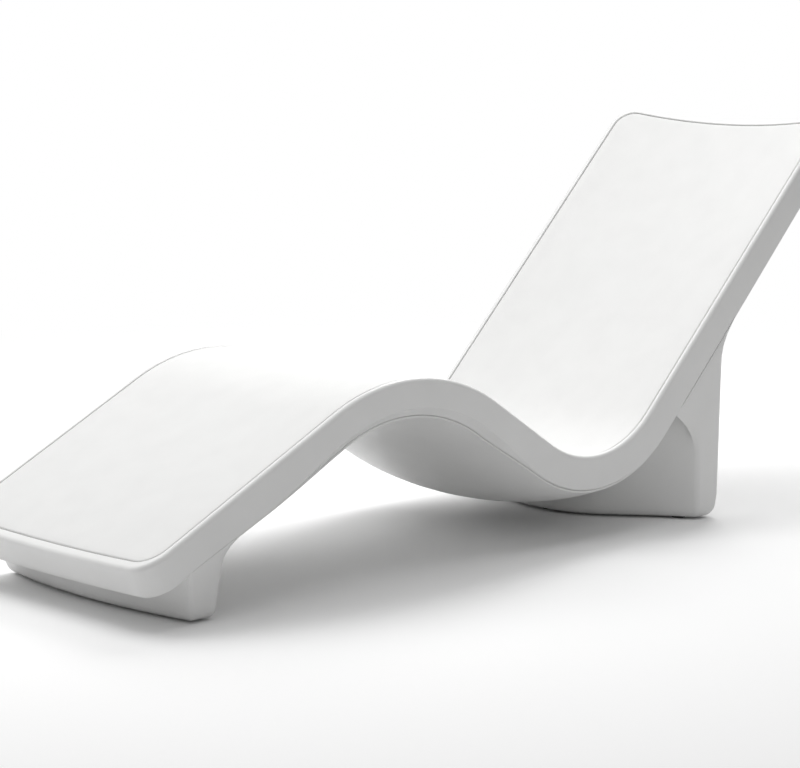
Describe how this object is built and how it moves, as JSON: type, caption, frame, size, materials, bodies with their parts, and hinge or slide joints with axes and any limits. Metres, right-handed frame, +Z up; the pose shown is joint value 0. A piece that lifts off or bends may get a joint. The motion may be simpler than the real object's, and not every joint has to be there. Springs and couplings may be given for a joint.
{
  "type": "spa relaxation lounger",
  "caption": "White moulded relaxation lounger with a dished, S-curved shell, an inset lying panel, a low foot and a tall rear leg.",
  "frame": {"origin": "middle of the lounger's length and width, on the floor under the glides", "axes": "+Z up, +X along the length from the foot end towards the head end, +Y across the width towards the lying person's left as they face the foot end"},
  "size_m": [2.0315, 0.64, 0.865],
  "materials": {
    "shell_gelcoat": "semi-gloss gelcoat on moulded glass-fibre laminate",
    "panel_gelcoat": "fine-grained satin gelcoat",
    "sealant": "matte elastic sealant",
    "vent_polymer": "matte moulded",
    "cover_polymer": "matte moulded",
    "rib_plywood": "sealed plywood",
    "stainless_steel": "plain machined",
    "glide_rubber": "matte moulded"
  },
  "bodies": {
    "root": {"lying_panel": "panel_gelcoat", "panel_bead": "sealant", "upper_shell": "shell_gelcoat", "seam_bead": "sealant", "underside_shell": "shell_gelcoat", "vent_plug": "vent_polymer", "front_foot": "shell_gelcoat", "rear_leg": "shell_gelcoat", "calf_rib_low": "rib_plywood", "calf_rib_high": "rib_plywood", "knee_rib": "rib_plywood", "thigh_rib": "rib_plywood", "seat_rib": "rib_plywood", "lumbar_rib": "rib_plywood", "back_rib": "rib_plywood", "head_rib": "rib_plywood", "left_stringer": "rib_plywood", "right_stringer": "rib_plywood", "foot_backing_plate": "rib_plywood", "leg_backing_plate": "rib_plywood", "foot_inserts": "stainless_steel", "leg_inserts": "stainless_steel", "foot_bolts": "stainless_steel", "leg_bolts": "stainless_steel", "foot_washers": "stainless_steel", "leg_washers": "stainless_steel", "cover_screws": "stainless_steel", "glide_screws": "stainless_steel", "foot_cover": "cover_polymer", "leg_cover": "cover_polymer", "foot_glides": "glide_rubber", "leg_glides": "glide_rubber"}
  },
  "joints": []
}
